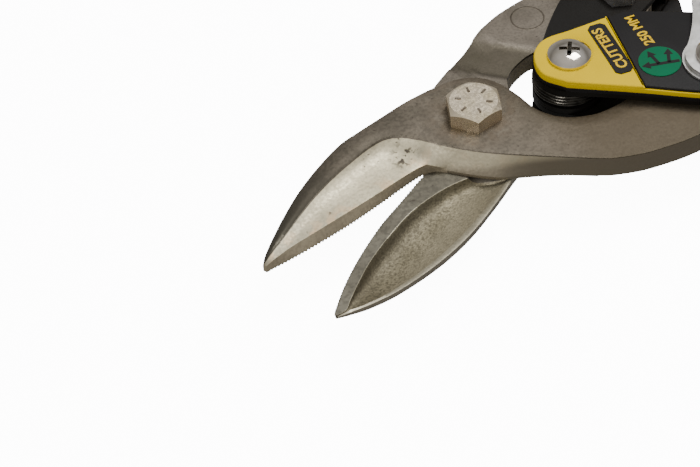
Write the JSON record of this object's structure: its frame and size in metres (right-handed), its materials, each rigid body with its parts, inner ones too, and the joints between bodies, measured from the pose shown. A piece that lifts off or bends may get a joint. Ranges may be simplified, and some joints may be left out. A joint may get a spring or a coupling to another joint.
{
  "type": "aviation snips",
  "caption": "Compound-action hand shears for sheet metal: two short jaws on a hex pivot bolt, driven by a linkage of two moulded handles with a return spring and a latch.",
  "frame": {"origin": "centre of the end face of the pivot bolt's thread, on the level the snips lie on", "axes": "+X from the pivot to the jaw tips along the line of symmetry of the open tool, +Y towards the upper handle, +Z along the pivot bolt to its hexagon head"},
  "size_m": [0.2352, 0.174, 0.0245],
  "materials": {
    "forged_steel": "satin, forged and ground",
    "zinc_steel": "zinc plated, satin",
    "bright_screw": "bright plated",
    "black_channel": "satin black coating",
    "spring_steel": "black oxide, semi-gloss",
    "black_plastic": "fine matt texture",
    "yellow_plastic": "smooth gloss",
    "green_plastic": "satin",
    "grip_yellow": "smooth gloss",
    "grip_black": "soft matt"
  },
  "bodies": {
    "upper_jaw_side": {"upper_jaw": "forged_steel", "pivot_bolt": "zinc_steel", "pivot_washer": "zinc_steel", "pivot_nut": "zinc_steel"},
    "lower_jaw": {"lower_jaw": "forged_steel"},
    "latch": {"latch_lever": "zinc_steel"},
    "lower_handle": {"lower_badge": "black_plastic", "lower_cover_base": "black_plastic", "lower_cover_body": "yellow_plastic", "lower_cover_panel": "black_plastic", "lower_direction_disc": "green_plastic", "lower_grip_core": "grip_yellow", "lower_grip_sleeve": "grip_black", "lower_handle_channel": "black_channel", "lower_tang_bushing": "zinc_steel", "lower_tang_nut": "zinc_steel", "lower_tang_screw": "bright_screw", "latch_stud": "zinc_steel"},
    "upper_handle": {"handle_pivot_nut": "zinc_steel", "handle_pivot_screw": "bright_screw", "latch_base": "zinc_steel", "lower_spacer_sleeve": "zinc_steel", "torsion_spring": "spring_steel", "upper_badge": "black_plastic", "upper_cover_base": "black_plastic", "upper_cover_body": "yellow_plastic", "upper_cover_panel": "black_plastic", "upper_direction_disc": "green_plastic", "upper_grip_core": "grip_yellow", "upper_grip_sleeve": "grip_black", "upper_handle_channel": "black_channel", "upper_spacer_sleeve": "zinc_steel", "upper_tang_bushing": "zinc_steel", "upper_tang_nut": "zinc_steel", "upper_tang_screw": "bright_screw"}
  },
  "joints": [
    {"name": "jaw_pivot", "type": "hinge", "parent": "upper_jaw_side", "child": "lower_jaw", "pos_m": [0, 0, 0.0105], "axis": [0, 0, 1], "range_deg": [-23, 0]},
    {"name": "upper_handle_pivot", "type": "hinge", "parent": "upper_jaw_side", "child": "upper_handle", "pos_m": [-0.05, 0.0183, 0.0105], "axis": [0, 0, 1], "range_deg": [0, 9.4]},
    {"name": "lower_handle_pivot", "type": "hinge", "parent": "lower_jaw", "child": "lower_handle", "pos_m": [-0.05, -0.0183, 0.0105], "axis": [0, 0, 1], "range_deg": [-9.4, 0]},
    {"name": "latch_pivot", "type": "hinge", "parent": "upper_handle", "child": "latch", "pos_m": [-0.05, 0.0183, 0.0105], "axis": [0, 0, 1], "range_deg": [0, 19]}
  ],
  "couplings": [
    {"joint": "upper_handle_pivot", "follows": "jaw_pivot", "ratio": -0.4029},
    {"joint": "lower_handle_pivot", "follows": "jaw_pivot", "ratio": 0.4029}
  ]
}
